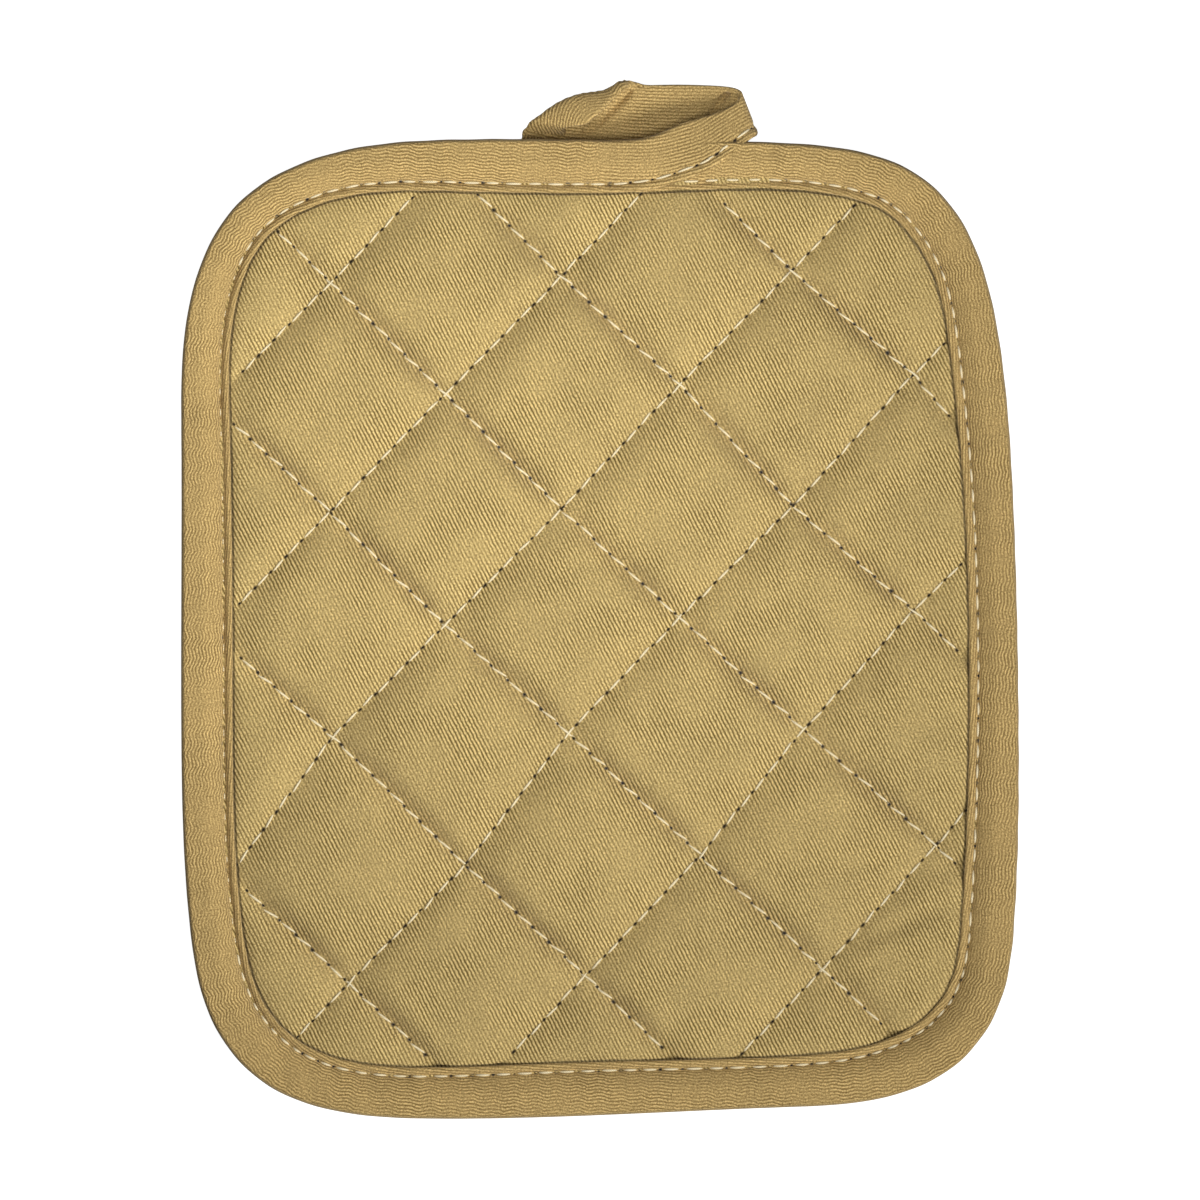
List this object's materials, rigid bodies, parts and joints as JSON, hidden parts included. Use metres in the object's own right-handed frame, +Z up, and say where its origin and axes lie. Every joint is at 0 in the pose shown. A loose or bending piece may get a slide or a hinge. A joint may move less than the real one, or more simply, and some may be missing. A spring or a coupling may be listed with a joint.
{
  "type": "quilted pot holder",
  "caption": "Quilted pot holder: a padded rectangle with round corners, sewn in diagonal diamonds, edged with folded tape whose tail makes a hang loop.",
  "frame": {"origin": "centre of the underside's box, on the surface that the pad lies on", "axes": "+Y along the pad's length towards the hang loop, +X to the right with the loop away, +Z up out of the front face"},
  "size_m": [0.1842, 0.2286, 0.0084],
  "materials": {
    "quilted_twill": "matt cotton twill, khaki, quilted",
    "tape_twill": "matt cotton twill tape, khaki, folded and sewn",
    "thread": "pale khaki sewing thread"
  },
  "bodies": {
    "root": {"quilted_pad": "quilted_twill", "edge_binding": "tape_twill", "hang_loop": "tape_twill"}
  },
  "joints": []
}
